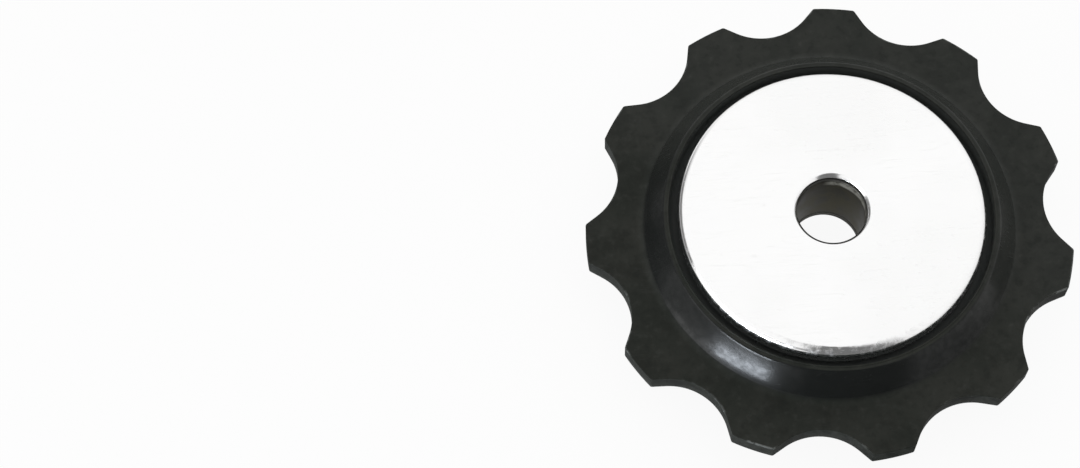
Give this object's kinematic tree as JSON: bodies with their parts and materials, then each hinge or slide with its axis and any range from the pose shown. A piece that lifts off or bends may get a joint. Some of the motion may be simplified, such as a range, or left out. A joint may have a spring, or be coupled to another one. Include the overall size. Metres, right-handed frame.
{
  "type": "derailleur jockey wheel",
  "caption": "Toothed chain-guide pulley for a bicycle rear derailleur: moulded wheel turning on a plain steel bush between two pressed steel dust caps.",
  "frame": {"origin": "middle of the bore, in the middle plane of the teeth", "axes": "+Z along the axle, out of the front cap; a gap between two teeth is centred on +X"},
  "size_m": [0.0416, 0.042, 0.0086],
  "materials": {
    "moulded_plastic": "black moulded acetal, satin on the slope and matte on the faces",
    "cap_steel": "bright plated pressed sheet",
    "bush_steel": "dull turned steel with an oil film"
  },
  "bodies": {
    "axle": {"bush": "bush_steel", "front_cap": "cap_steel", "rear_cap": "cap_steel"},
    "wheel": {"toothed_wheel": "moulded_plastic"}
  },
  "joints": [
    {"name": "wheel_spin", "type": "hinge", "parent": "axle", "child": "wheel", "pos_m": [0, 0, 0], "axis": [0, 0, 1], "continuous": true}
  ]
}
